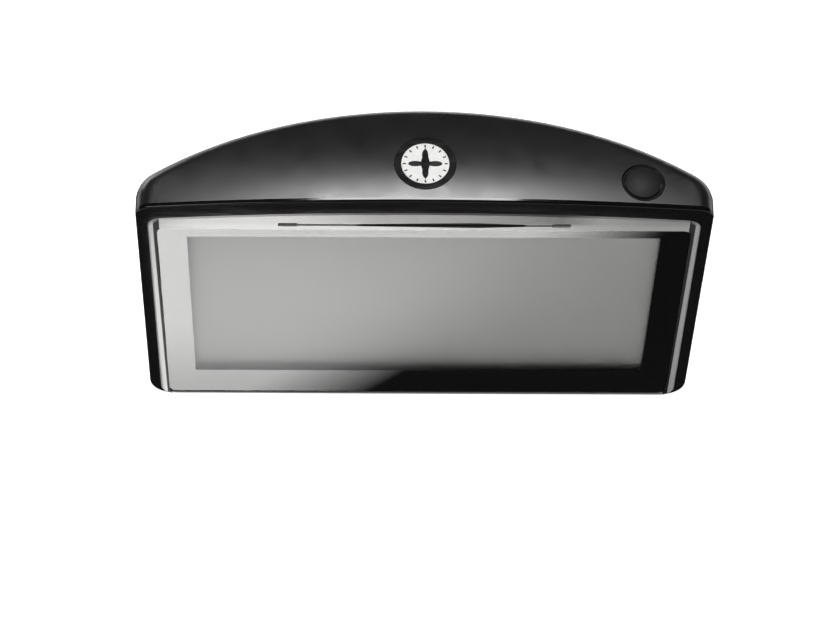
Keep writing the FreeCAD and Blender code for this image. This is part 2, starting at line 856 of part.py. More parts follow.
# ---------------------------------------------------------------- speaker
SPEAKER_BACK = f"({back_place('speaker_radius', 'wall_thick')} - fit_gap)"


def speaker_ring(name, outer, inner, span):
    ring = level(name, "0", "speaker_level", outer, span)
    bore = level(name + "_bore", "0", "speaker_level", inner, (f"({span[0]}) - 1",
                                                                f"({span[1]}) + 1"))
    return remove(name + "_cut", ring, bore)


def make_speaker():
    front = f"({SPEAKER_BACK} - basket_length)"
    wall = "(speaker_radius - basket_wall)"
    rim_ring = speaker_ring("basket_rim", "speaker_radius", wall, (front, SPEAKER_BACK))
    floor = speaker_ring("basket_floor", "speaker_radius", "magnet_radius + fit_gap",
                         (front, f"{front} + basket_wall"))
    keep("speaker_basket", join("basket_join", rim_ring, floor))
    cone_back = f"({SPEAKER_BACK} - 1)"
    cone_front = f"({cone_back} - cone_depth)"
    outer = frustum("cone_outer", "0", "speaker_level", ("cone_inner", f"{wall} - fit_gap"),
                    (cone_front, cone_back))
    inner = frustum("cone_hollow", "0", "speaker_level",
                    ("cone_inner", f"{wall} - fit_gap"),
                    (f"{cone_front} + cone_thick", f"{cone_back} + cone_thick"))
    keep("speaker_cone", remove("cone_cut", outer, inner))
    keep("speaker_magnet", level("magnet", "0", "speaker_level", "magnet_radius",
                                 (f"{cone_front} - magnet_thick", cone_front)))


def make_grille():
    disc = level("grille_disc", "0", "speaker_level", "grille_radius", ("0", "case_depth * 2"))
    skin = remove("grille_skin", case_slice("grille_outer", "0", None, None),
                  case_slice("grille_inner", "grille_thick", None, None))
    holes = [("circle", "0", "speaker_level", "grille_hole")]
    rings = int(value("(grille_radius - grille_ledge) / grille_pitch"))
    for ring in range(1, rings):
        for step in range(6 * ring):
            angle = 60 * step / ring
            reach = f"grille_pitch * {ring}"
            holes.append(("circle", f"{reach} * cos({angle:g})",
                          f"speaker_level + {reach} * sin({angle:g})", "grille_hole"))
    punch = new_body("grille_punch")
    pad(punch, "front", ("0", "case_depth * 2"), *holes)
    keep("speaker_grille", remove("grille_cut", common("grille_blank", skin, disc), punch))


# ---------------------------------------------------------------- memory card
def make_card():
    end = "(card_end - card_long)"
    low, high = about("card_level", "card_wide")
    body = front_plate(
        "card_plate",
        [
            ("-card_end", low),
            (f"-{end}", low),
            (f"-{end}", f"{high} - card_corner"),
            (f"-{end} - card_corner", high),
            ("-card_end", high),
        ],
        (CARD_FRONT, CARD_BACK),
    )
    keep("memory_card", body)
    inner = f"({end} - card_gap)"
    shell = box("socket_shell", ("-socket_start", f"-{inner} + socket_wall"),
                (BOARD_BACK, SOCKET_BACK),
                about("card_level", "card_wide + 2 * card_gap + 2 * socket_wall"))
    hollow = box("socket_hollow", ("-case_width", f"-{inner}"),
                 (f"{CARD_FRONT} - card_gap", f"{CARD_BACK} + card_gap"),
                 about("card_level", "card_wide + 2 * card_gap"))
    keep("card_socket", remove("socket_cut", shell, hollow))


# ---------------------------------------------------------------- connectors on the underside
DOCK_MIDDLE = f"({BOARD_BACK} + dock_depth / 2)"
USB_MIDDLE = f"({BOARD_BACK} + usb_depth / 2)"
JACK_MIDDLE = f"({BOARD_BACK} + jack_depth / 2)"
RESET_MIDDLE = f"({BOARD_BACK} + reset_depth / 2)"
SOCKET_FOOT = "(wall_thick + fit_gap)"


def make_dock():
    high = f"({SOCKET_FOOT} + dock_height)"
    shell = box("dock_shell", about("0", "dock_width"),
                (BOARD_BACK, f"{BOARD_BACK} + dock_depth"), (SOCKET_FOOT, high))
    roof = f"({SOCKET_FOOT} + dock_pocket)"
    pocket = box("dock_hollow", about("0", "dock_width - 2 * dock_wall"),
                 about(DOCK_MIDDLE, "dock_depth - 2 * dock_wall"), ("0", roof))
    slots, pins = [], []
    count = int(value("contact_count"))
    for index in range(count):
        x = f"contact_pitch * {index - (count - 1) / 2:g}"
        across, deep = about(x, "contact_size"), about(DOCK_MIDDLE, "contact_size")
        span = (f"{roof} - contact_length", f"{high} - 1")
        pins.append(box("dock_pin", across, deep, span))
        slots.append(box("dock_pin_slot", across, deep, (roof, f"{high} - 1")))
    keep("dock_connector", remove("dock_cut", shell, pocket, *slots))
    keep("dock_contacts", group("dock_pin_set", pins))


def make_usb():
    high = f"({SOCKET_FOOT} + usb_height)"
    depth = (BOARD_BACK, f"{BOARD_BACK} + usb_depth")
    shell = box("usb_shell", about("usb_offset", "usb_width"), depth, (SOCKET_FOOT, high))
    pocket = box("usb_hollow", about("usb_offset", "usb_width - 2 * usb_wall"),
                 about(USB_MIDDLE, "usb_depth - 2 * usb_wall"),
                 ("0", f"{SOCKET_FOOT} + usb_pocket"))
    tongue = box("usb_tongue", about("usb_offset", "usb_width / 2"),
                 about(USB_MIDDLE, "usb_wall * 2"), (f"{SOCKET_FOOT} + 1", high))
    keep("usb_socket", join("usb_join", remove("usb_cut", shell, pocket), tongue))


def make_jack():
    depth = (BOARD_BACK, f"{BOARD_BACK} + jack_depth")
    shell = box("jack_shell", about("jack_offset", "jack_width"), depth,
                (SOCKET_FOOT, f"{SOCKET_FOOT} + jack_height"))
    nose = upright("jack_nose", "jack_offset", JACK_MIDDLE, "nose_radius",
                   (f"{SOCKET_FOOT} - nose_length", SOCKET_FOOT))
    bore = upright("jack_hole", "jack_offset", JACK_MIDDLE, "jack_radius",
                   ("-1", f"{SOCKET_FOOT} + jack_bore"))
    keep("audio_jack", remove("jack_cut", join("jack_join", shell, nose), bore))


def make_reset():
    flange_top = f"({SOCKET_FOOT} + flange_thick)"
    pin = upright("reset_pin", "reset_offset", RESET_MIDDLE, "reset_radius",
                  ("reset_sink", flange_top))
    flange = upright("reset_disc", "reset_offset", RESET_MIDDLE, "reset_flange",
                     (SOCKET_FOOT, flange_top))
    keep("reset_button", join("reset_join", pin, flange))
    foot = f"({flange_top} + reset_travel + fit_gap)"
    keep("reset_switch", box("reset_body", about("reset_offset", "reset_width"),
                             (BOARD_BACK, f"{BOARD_BACK} + reset_depth"),
                             (foot, f"{foot} + reset_height")))


# ---------------------------------------------------------------- fittings in the back
def make_aerial():
    tube = level("aerial_tube", "aerial_offset", "aerial_level", "aerial_radius",
                 (BOARD_BACK, f"{BOARD_BACK} + aerial_length"))
    bore = level("aerial_hole", "aerial_offset", "aerial_level", "aerial_bore",
                 (f"{BOARD_BACK} + 2", "case_depth"))
    keep("antenna_socket", remove("aerial_cut", tube, bore))
    keep("antenna_cover", flush_plug("plug", "aerial_offset", "aerial_level", "plug_radius",
                                     "plug_thick"))
    keep("charging_light", flush_plug("lamp", "light_offset", "light_level", "light_radius",
                                      "wall_thick"))


def flush_plug(name, x, z, radius, thick):
    """A round plug through the back, whose outer face is the case's own surface."""
    skin = remove(name + "_skin", case_slice(name + "_outer", "0", None, None),
                  case_slice(name + "_inner", thick, None, None))
    rod = level(name + "_rod", x, z, radius, ("case_depth / 2", "case_depth * 2"))
    return common(name + "_flush", skin, rod)


def make_label():
    skin = remove("label_skin", case_slice("label_outer", "0", None, None),
                  case_slice("label_inner", "label_thick", None, None))
    area = box("label_area", about("0", "label_width"), ("case_depth / 2", "case_depth * 2"),
               about("label_level", "label_height"))
    keep("rating_label", common("label_flush", skin, area))


# ---------------------------------------------------------------- badge and on/off button
def top_level(x, depth):
    """Height of the case's top surface."""
    ridge = f"(case_height - top_radius + sqrt(top_radius^2 - (({depth}) - top_apex)^2))"
    return f"({ridge} - crown_radius + sqrt(crown_radius^2 - ({x})^2))"


BADGE_TOP = f"({top_level('0', 'badge_depth')} + badge_rise)"
BADGE_FLOOR = f"({top_level('0', 'badge_depth')} - badge_seat)"


def make_badge():
    ring = upright("badge_tube", "0", "badge_depth", "badge_radius", (BADGE_FLOOR, BADGE_TOP))
    bore = upright("badge_bore", "0", "badge_depth", "badge_disc + badge_gap",
                   ("0", "case_height * 2"))
    keep("badge_ring", remove("badge_ring_cut", ring, bore))
    face = f"({BADGE_TOP} - disc_sink)"
    keep("badge_disc", upright("badge_plate", "0", "badge_depth", "badge_disc",
                               (BADGE_FLOOR, face)))
    needle = new_body("needle")
    pad(needle, "plan", (face, f"{face} + emblem_thick"), [
        ("0", "badge_depth - emblem_reach"),
        ("emblem_waist", "badge_depth"),
        ("0", "badge_depth + emblem_reach"),
        ("-emblem_waist", "badge_depth"),
    ])
    keep("badge_needle", needle)


CAP_FOOT = "(recess_floor + cap_lift)"
CAP_RADIUS = "(recess_radius - fit_gap / 2 - ring_wall - button_gap)"
STEM_FOOT = f"({CAP_FOOT} - stem_reach)"
SWITCH_TOP = f"({STEM_FOOT} - button_travel - fit_gap)"


def make_button():
    x, y = "button_offset", "button_depth"
    ring = upright("button_tube", x, y, "recess_radius - fit_gap / 2",
                   ("recess_floor", "recess_floor + ring_height"))
    bore = upright("button_bore", x, y, "recess_radius - fit_gap / 2 - ring_wall",
                   ("0", "case_height * 2"))
    keep("button_ring", remove("button_ring_cut", ring, bore))
    cap = new_body("cap")
    edge = f"({CAP_FOOT} + cap_height)"
    dome = f"(({CAP_RADIUS}^2 + cap_dome^2) / (2 * cap_dome))"
    sketch = sketch_on(cap, "side", "0", [[
        ("0", STEM_FOOT),
        ("stem_radius", STEM_FOOT),
        ("stem_radius", CAP_FOOT),
        (CAP_RADIUS, CAP_FOOT),
        (CAP_RADIUS, edge),
        ("0", f"{edge} + cap_dome", dome, False),
    ]])
    turn = cap.newObject("PartDesign::Revolution", "cap_turn")
    turn.Profile = sketch
    turn.ReferenceAxis = (sketch, ["V_Axis"])
    turn.Angle = 360
    doc.recompute()
    bind(cap, "Placement.Base.x", x)
    placed_y[cap.Name] = y
    keep("power_button", cap)
    keep("switch_plunger", upright("plunger", x, y, "plunger_radius",
                                   (f"{SWITCH_TOP} - plunger_seat + button_travel", STEM_FOOT)))
    foot = f"({SWITCH_TOP} - switch_height)"
    body = box("switch_box", about(x, "switch_size"), about(y, "switch_size"),
               (foot, SWITCH_TOP))
    well = upright("switch_well", x, y, "plunger_radius + stem_gap",
                   (f"{SWITCH_TOP} - plunger_seat", "case_height"))
    keep("power_switch", remove("switch_cut", body, well))
    keep("button_board", box("strip", about(x, "strip_width"), about(y, "strip_depth"),
                             (f"{foot} - strip_thick", foot)))


# ---------------------------------------------------------------- rear cover
def make_rear_cover():
    outer = case_slice("cover_outer", "0", SEAM, None)
    cavity = case_slice("cover_cavity", "wall_thick", None, None)
    added = [
        upright("collar", "button_offset", "button_depth", "stem_radius + collar_wall",
                ("recess_floor - collar_length", "recess_floor + 0.1")),
    ]
    cuts = [
        upright("recess", "button_offset", "button_depth", "recess_radius",
                ("recess_floor", "case_height * 2")),
        upright("stem_hole", "button_offset", "button_depth", "stem_radius + stem_gap",
                ("case_height / 2", "case_height * 2")),
        upright("badge_seat_cut", "0", "badge_depth", "badge_radius + badge_gap",
                (BADGE_FLOOR, "case_height * 2")),
        upright("reset_hole", "reset_offset", RESET_MIDDLE, "reset_radius + reset_gap",
                ("-1", "wall_thick * 2")),
        upright("jack_opening", "jack_offset", JACK_MIDDLE, "nose_radius + fit_gap",
                ("-1", "wall_thick * 2")),
        box("usb_opening", about("usb_offset", "usb_width + 1"),
            about(USB_MIDDLE, "usb_depth + 1"), ("-1", "wall_thick * 2")),
        box("dock_opening", about("0", "dock_width - 2 * dock_wall"),
            about(DOCK_MIDDLE, "dock_depth - 2 * dock_wall"), ("-1", "wall_thick * 2")),
        box("card_opening", ("-case_width", "-socket_start + fit_gap"),
            (f"{CARD_FRONT} - slot_gap", f"{CARD_BACK} + slot_gap"),
            about("card_level", "card_wide + 2 * slot_gap")),
        box("socket_room", ("-socket_start - fit_gap", "-socket_start + card_wide / 4"),
            (BOARD_BACK, f"{SOCKET_BACK} + fit_gap"),
            about("card_level", "card_wide + 2 * card_gap + 2 * socket_wall + 2 * fit_gap")),
        front_plate("rim_relief", rim_loop("rim_gap"), ("0", FLOOR_FRONT)),
        level("grille_seat", "0", "speaker_level", "grille_radius - grille_ledge",
              ("case_depth / 2", "case_depth * 2")),
        level("lamp_hole", "light_offset", "light_level", "light_radius",
              ("case_depth / 2", "case_depth * 2")),
    ]
    ledges = [
        ("grille_ledge_rod", "0", "speaker_level", "grille_radius + rim_gap", "grille_thick"),
        ("plug_ledge_rod", "aerial_offset", "aerial_level", "plug_radius + rim_gap",
         "plug_thick"),
    ]
    for name, x, z, radius, thick in ledges:
        skin = remove(name + "_skin", level(name, x, z, radius,
                                            ("case_depth / 2", "case_depth * 2")),
                      case_slice(name + "_inner", thick, None, None))
        cuts.append(skin)
    cuts.append(level("aerial_opening", "aerial_offset", "aerial_level", "aerial_radius + fit_gap",
                      ("case_depth / 2", "case_depth * 2")))
    cuts.append(remove("label_seat",
                       box("label_seat_area", about("0", "label_width + 2 * rim_gap"),
                           ("case_depth / 2", "case_depth * 2"),
                           about("label_level", "label_height + 2 * rim_gap")),
                       case_slice("label_seat_inner", "label_thick", None, None)))
    for side in (-1, 1):
        x = beside(side, "peg_offset")
        added.append(upright("peg_boss", x, "peg_depth", "peg_radius + peg_wall",
                             ("wall_thick / 2", "peg_length + peg_wall")))
        cuts.append(upright("peg_hole", x, "peg_depth", "peg_radius", ("-1", "peg_length")))
    for x, z in corners("post_offset", "post_low", "post_high"):
        boss = level("cover_boss", x, z, "boss_radius", (f"{POST_BACK} + fit_gap", "case_depth"))
        added.append(common("cover_boss_trim", boss, case_slice("boss_limit", "wall_thick / 2",
                                                                None, None)))
        cuts.append(level("boss_hole", x, z, "case_screw + fit_gap", ("0", "case_depth")))
        cuts.append(level("boss_sink", x, z, "case_head + fit_gap",
                          (f"{POST_BACK} + fit_gap + head_sink", "case_depth * 2")))
    shell = join("cover_shell", remove("cover_walls", outer, cavity), *added)
    keep("rear_cover", remove("rear_cover_cut", shell, *cuts))


# ---------------------------------------------------------------- build, check and write
def check_model():
    doc.recompute()
    failed = [o.Name for o in doc.Objects if {"Invalid", "Error"} & set(o.State)]
    if failed:
        raise RuntimeError(f"failed objects: {failed}")
    for label, thing in nodes.items():
        if thing.Shape.isNull() or not thing.Shape.isValid() or thing.Shape.Volume <= 0:
            raise RuntimeError(f"bad shape: {label}")


def write_parts():
    os.makedirs("parts", exist_ok=True)
    for label, thing in nodes.items():
        thing.Shape.exportStep(f"parts/{label}.step")


fill_sheet()
make_front_case()
make_rim()
make_screen()
make_chassis()
make_ribbon()
make_board()
make_electronics()
make_speaker()
make_grille()
make_card()
make_dock()
make_usb()
make_jack()
make_reset()
make_aerial()
make_label()
make_badge()
make_button()
make_rear_cover()
check_model()
write_parts()
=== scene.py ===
import json
import math

import bpy
from mathutils import Matrix, Vector
from mathutils.geometry import tessellate_polygon


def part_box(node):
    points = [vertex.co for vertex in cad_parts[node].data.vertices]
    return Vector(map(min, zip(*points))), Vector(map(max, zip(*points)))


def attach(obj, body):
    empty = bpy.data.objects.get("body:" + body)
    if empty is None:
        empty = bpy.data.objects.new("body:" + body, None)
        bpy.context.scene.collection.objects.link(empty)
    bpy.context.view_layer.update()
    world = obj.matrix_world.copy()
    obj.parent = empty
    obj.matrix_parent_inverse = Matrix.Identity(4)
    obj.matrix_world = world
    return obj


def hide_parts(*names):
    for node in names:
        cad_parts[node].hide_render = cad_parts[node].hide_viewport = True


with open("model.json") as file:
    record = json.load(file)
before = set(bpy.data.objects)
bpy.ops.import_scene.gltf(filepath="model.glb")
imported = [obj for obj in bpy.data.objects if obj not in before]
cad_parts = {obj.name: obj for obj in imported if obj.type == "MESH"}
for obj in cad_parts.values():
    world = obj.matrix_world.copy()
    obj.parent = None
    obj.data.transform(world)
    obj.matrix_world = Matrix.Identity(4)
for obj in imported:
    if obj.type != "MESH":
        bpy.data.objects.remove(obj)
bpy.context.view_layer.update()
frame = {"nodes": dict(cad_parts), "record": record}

MM = 0.001

# The plane of the rim's front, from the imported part.
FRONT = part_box("silver_rim")[0].y


# ---------------------------------------------------------------- node helpers
EDGE_FULL = 0.25            # the change in normal that counts as right on an edge


class Graph:
    """Short names for building one material's nodes."""

    def __init__(self, name):
        self.material = bpy.data.materials.new(name)
        self.material.use_nodes = True
        self.tree = self.material.node_tree
        self.shader = self.tree.nodes["Principled BSDF"]

    def node(self, kind, **values):
        made = self.tree.nodes.new("ShaderNode" + kind)
        for key, value in values.items():
            setattr(made, key, value)
        return made

    def link(self, source, target):
        self.tree.links.new(source, target)

    def place(self):
        """Object-space coordinates in metres."""
        return self.node("TexCoord").outputs["Object"]

    def noise(self, scale, detail=2.0, rough=0.5, vector=None):
        made = self.node("TexNoise")
        made.inputs["Scale"].default_value = scale
        made.inputs["Detail"].default_value = detail
        made.inputs["Roughness"].default_value = rough
        self.link(vector or self.place(), made.inputs["Vector"])
        return made.outputs["Fac"]

    def stretch(self, scale):
        """Object-space coordinates, scaled along each axis, to draw a grain out."""
        made = self.node("Mapping")
        made.inputs["Scale"].default_value = scale
        self.link(self.place(), made.inputs["Vector"])
        return made.outputs["Vector"]

    def span(self, value, low, high, out_low=0.0, out_high=1.0):
        """A value carried from one range to another, and held at its ends."""
        made = self.node("MapRange")
        made.inputs["From Min"].default_value = low
        made.inputs["From Max"].default_value = high
        made.inputs["To Min"].default_value = out_low
        made.inputs["To Max"].default_value = out_high
        self.link(value, made.inputs["Value"])
        return made.outputs["Result"]

    def math(self, operation, first, second=None):
        made = self.node("Math", operation=operation)
        for socket, value in zip(made.inputs, (first, second)):
            if value is None:
                continue
            if isinstance(value, (int, float)):
                socket.default_value = value
            else:
                self.link(value, socket)
        return made.outputs[0]

    def mix(self, amount, first, second):
        """A colour between two, each a colour or a socket."""
        made = self.node("Mix", data_type="RGBA")
        self.link(amount, made.inputs[0])
        for socket, value in ((made.inputs[6], first), (made.inputs[7], second)):
            if isinstance(value, (tuple, list)):
                socket.default_value = (*value[:3], 1)
            else:
                self.link(value, socket)
        return made.outputs[2]

    def bump(self, height, strength, distance):
        made = self.node("Bump")
        made.inputs["Strength"].default_value = strength
        made.inputs["Distance"].default_value = distance
        self.link(height, made.inputs["Height"])
        self.link(made.outputs["Normal"], self.shader.inputs["Normal"])

    def edges(self, radius):
        """How near an edge is, 0 to 1, from the difference that a bevelled normal makes."""
        bevel = self.node("Bevel", samples=4)
        bevel.inputs["Radius"].default_value = radius
        plain = self.node("NewGeometry").outputs["Normal"]
        dot = self.node("VectorMath", operation="DOT_PRODUCT")
        self.link(bevel.outputs["Normal"], dot.inputs[0])
        self.link(plain, dot.inputs[1])
        away = self.math("SUBTRACT", 1.0, dot.outputs["Value"])
        return self.span(away, 0.0, EDGE_FULL)

    def axes(self, vector=None):
        """The X, Y and Z of a vector, or of the place in the part, as a node's outputs."""
        made = self.node("SeparateXYZ")
        self.link(vector or self.place(), made.inputs[0])
        return made.outputs

    def set(self, **values):
        """Sets or links the shader's sockets, their names written with underscores."""
        for key, value in values.items():
            socket = self.shader.inputs[key.replace("_", " ")]
            if isinstance(value, bpy.types.NodeSocket):
                self.link(value, socket)
            elif isinstance(value, (tuple, list)):
                socket.default_value = (*value[:3], 1)
            else:
                socket.default_value = value


FINE = 0.01 * MM            # bump depth of a drawn, brushed or fired grain
COARSE = 0.02 * MM          # bump depth of a moulded grain or of orange peel
EDGE_WEAR = 0.5 * MM        # how far a rubbed edge reaches


def moulded(name, colour, rough, grain=2600, depth=COARSE, wear=0.0, specular=0.5):
    """Moulded plastic: spark-eroded grain, uneven sheen, and paler rubbed edges."""
    g = Graph(name)
    grains = g.noise(grain, 3.0, 0.6)
    cloud = g.noise(45, 3.0, 0.55)
    smudge = g.noise(140, 4.0, 0.6)
    dark = tuple(c * 0.86 for c in colour)
    light = tuple(min(1.0, c * 1.14) for c in colour)
    base = g.mix(g.span(cloud, 0.3, 0.7), dark, light)
    if wear:
        rubbed = g.math("MULTIPLY", g.edges(EDGE_WEAR), g.span(smudge, 0.4, 0.7))
        worn = tuple(min(1.0, c + wear) for c in colour)
        base = g.mix(rubbed, base, worn)
    g.set(Base_Color=base, Roughness=g.span(smudge, 0.25, 0.75, rough - 0.04, rough + 0.05))
    g.set(Specular_IOR_Level=specular)
    g.bump(grains, 0.35, depth)
    return g.material


def gloss(name, colour, rough, specular=0.5):
    """Polished plastic: faint orange peel, fine dust and hairline scuffs."""
    g = Graph(name)
    peel = g.noise(420, 2.0, 0.5)
    dust = g.noise(5200, 2.0, 0.6)
    scuff = g.noise(900, 4.0, 0.7, g.stretch((0.12, 1.0, 1.0)))
    specks = g.span(dust, 0.68, 0.74)
    base = g.mix(g.math("MULTIPLY", specks, 0.25), colour, tuple(c + 0.08 for c in colour))
    g.set(Base_Color=base, Roughness=g.span(scuff, 0.35, 0.75, rough, rough + 0.06))
    g.set(Specular_IOR_Level=specular)
    g.bump(peel, 0.12, COARSE)
    return g.material


def metal(name, colour, rough, brushed=(1.0, 1.0, 1.0), scale=2400, metallic=1.0):
    """Metal with a blasted grain, or one drawn out along the axes that brushed makes small."""
    g = Graph(name)
    lines = g.noise(scale, 4.0, 0.65, g.stretch(brushed))
    cloud = g.noise(60, 2.0, 0.5)
    dark = tuple(c * 0.84 for c in colour)
    base = g.mix(g.span(cloud, 0.3, 0.7), dark, colour)
    g.set(Base_Color=base, Metallic=metallic)
    g.set(Roughness=g.span(lines, 0.3, 0.7, rough - 0.05, rough + 0.08))
    g.bump(lines, 0.2, FINE)
    return g.material


# ---------------------------------------------------------------- special materials
def clear_lens(name, rough, index):
    """Hard clear lens with faint finger smears."""
    g = Graph(name)
    smear = g.noise(70, 4.0, 0.6, g.stretch((1.0, 1.0, 0.45)))
    g.set(Base_Color=(0.94, 0.95, 0.95), IOR=index, Transmission_Weight=1.0)
    g.set(Roughness=g.span(smear, 0.3, 0.75, rough, rough + 0.06))
    g.bump(g.noise(9000, 2.0, 0.5), 0.03, 0.005 * MM)
    return g.material


PIXEL_PITCH = 0.198 * MM


def display_face():
    """The lit, blank display: a fine chequer of pixels in an even warm grey."""
    g = Graph("display_face")
    axes = g.axes()
    rows = g.math("SINE", g.math("MULTIPLY", axes["Z"], 2 * math.pi / PIXEL_PITCH))
    columns = g.math("SINE", g.math("MULTIPLY", axes["X"], 2 * math.pi / PIXEL_PITCH))
    cells = g.span(g.math("MULTIPLY", rows, columns), -1.0, 1.0, 0.0, 1.0)
    base = g.mix(cells, (0.105, 0.101, 0.094), (0.128, 0.124, 0.115))
    g.set(Base_Color=base, Roughness=g.span(g.noise(300), 0.3, 0.7, 0.42, 0.5))
    g.set(Emission_Color=(0.9, 0.88, 0.84), Emission_Strength=0.05)
    return g.material


def ink():
    """Black print behind the lens, with the faint cloudiness of screened ink."""
    g = Graph("border_print")
    cloud = g.span(g.noise(160, 3.0), 0.35, 0.7)
    base = g.mix(cloud, (0.004, 0.004, 0.0045), (0.007, 0.007, 0.0075))
    g.set(Base_Color=base, Roughness=g.span(g.noise(1200), 0.3, 0.7, 0.4, 0.5))
    g.set(Specular_IOR_Level=0.2)
    return g.material


# Painted shade: a near-black line inside each side strip of the rim stands in for the shadow in a
# groove that the rim's geometry doesn't have.
GROOVE_IN_TOP, GROOVE_IN_FOOT = 1.02 * MM, 1.30 * MM     # from the rim's side to the painted groove shadow
GROOVE_TOP_RUN = 12 * MM                                # where it stops coming nearer to the side
GROOVE_EDGE = 2.4 * MM                                  # the painted groove shadow's inner side
GROOVE_HEAD = 5.2 * MM                                  # its top end, below the rim's top
BAND_THIN, BAND_THICK = 0.2 * MM, 0.95 * MM           # half the height of the dark band round the slot
BAND_GROWS, BAND_FALLS = (-24 * MM, 9 * MM), (11 * MM, 25 * MM)
# Painted shade above the slot's middle: where it rises, and where it starts and ends left to
# right.
SHADE_RISE = (-0.4 * MM, 0.8 * MM)                      # up from the slot's middle
SHADE_STARTS, SHADE_ENDS = (-34 * MM, -10 * MM), (28 * MM, 36 * MM)
SHADE_AND_BAND_BLACK, BLACK_ROUGHNESS = (0.004, 0.004, 0.004), 0.85


def painted_groove_shade(g, axes, low, high):
    """Where the painted groove shadow inside each side strip of the rim runs, 0 to 1."""
    inward = g.math("SUBTRACT", high.x, g.math("ABSOLUTE", axes["X"]))
    start = g.span(axes["Z"], low.z, high.z - GROOVE_TOP_RUN, GROOVE_IN_FOOT, GROOVE_IN_TOP)
    groove_shade = g.span(g.math("SUBTRACT", inward, start), 0.0, 0.1 * MM)
    groove_shade = g.math("MULTIPLY", groove_shade, g.span(inward, GROOVE_EDGE, GROOVE_EDGE - 0.1 * MM))
    head = g.math("ADD", high.z - GROOVE_HEAD, inward)
    above = g.math("SUBTRACT", axes["Z"], head)
    return g.math("MULTIPLY", groove_shade, g.span(above, 0.8 * MM, 0.0))


def slot_dark_band(g, axes, slot_low, slot_high):
    """Where the dark tapered band round the slot is, 0 to 1: thickest right of the middle."""
    middle = (slot_low.z + slot_high.z) / 2
    grow = g.span(axes["X"], *BAND_GROWS, BAND_THIN, BAND_THICK)
    fall = g.span(axes["X"], *BAND_FALLS, BAND_THICK, BAND_THIN)
    rise = g.math("ABSOLUTE", g.math("SUBTRACT", axes["Z"], middle))
    dark_band = g.span(g.math("SUBTRACT", g.math("MINIMUM", grow, fall), rise), 0.0, 0.05 * MM)
    dark_band = g.math("MULTIPLY", dark_band, g.span(axes["X"], slot_low.x, slot_low.x + MM))
    return g.math("MULTIPLY", dark_band, g.span(axes["X"], slot_high.x, slot_high.x - MM))


def silver_paint():
    """Satin silver paint: fine flake, soft cloud, paler edges, a painted groove shadow inside
    each side strip of the rim, a dark band round the slot, and painted shade above the slot's
    middle."""
    g = Graph("silver_paint")
    low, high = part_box("silver_rim")
    slot_low, slot_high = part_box("rim_slot_strip")
    middle = (slot_low.z + slot_high.z) / 2
    flakes = g.span(g.noise(9000, 1.0, 0.5), 0.42, 0.62)
    cloud = g.span(g.noise(55, 3.0), 0.3, 0.7)
    base = g.mix(flakes, (0.27, 0.27, 0.265), (0.35, 0.35, 0.345))
    base = g.mix(g.math("MULTIPLY", cloud, 0.25), base, (0.31, 0.31, 0.305))
    base = g.mix(g.math("MULTIPLY", g.edges(0.4 * MM), 0.5), base, (0.55, 0.55, 0.55))
    axes = g.axes()
    groove_shade = painted_groove_shade(g, axes, low, high)
    dark = g.math("MAXIMUM", groove_shade, slot_dark_band(g, axes, slot_low, slot_high))
    rough = g.node("Mix", data_type="FLOAT")
    g.link(dark, rough.inputs[0])
    g.link(g.span(g.noise(700, 3.0), 0.3, 0.7, 0.28, 0.38), rough.inputs[2])
    rough.inputs[3].default_value = BLACK_ROUGHNESS
    # Painted shade: the rim's upper band above the slot is darkened and made metallic, so it
    # reflects little, fading out towards both ends.
    shade = g.math("MULTIPLY", g.span(axes["Z"], *(middle + rise for rise in SHADE_RISE)),
                   g.span(axes["X"], *SHADE_STARTS, 0.2, 0.72))
    shade = g.math("MULTIPLY", shade, g.span(axes["X"], *SHADE_ENDS, 1.0, 0.2))
    base = g.mix(shade, base, (0.03, 0.03, 0.03))
    # Near-black where the painted groove shadow and the dark band round the slot lie.
    g.set(Base_Color=g.mix(dark, base, SHADE_AND_BAND_BLACK))
    g.set(Metallic=g.span(shade, 0.0, 1.0, 0.15, 1.0))
    g.set(Roughness=rough.outputs[0])
    g.bump(g.noise(7000, 2.0), 0.15, 0.006 * MM)
    return g.material


MARK_COUNT = 16
MARK_IN, MARK_OUT = 3.9 * MM, 4.6 * MM                  # radii of the ring of marks
NEEDLE_CORE, NEEDLE_REACH = 0.6 * MM, 2.9 * MM          # the four-pointed rose
SHARP = 0.05 * MM                                       # how quickly a printed edge turns


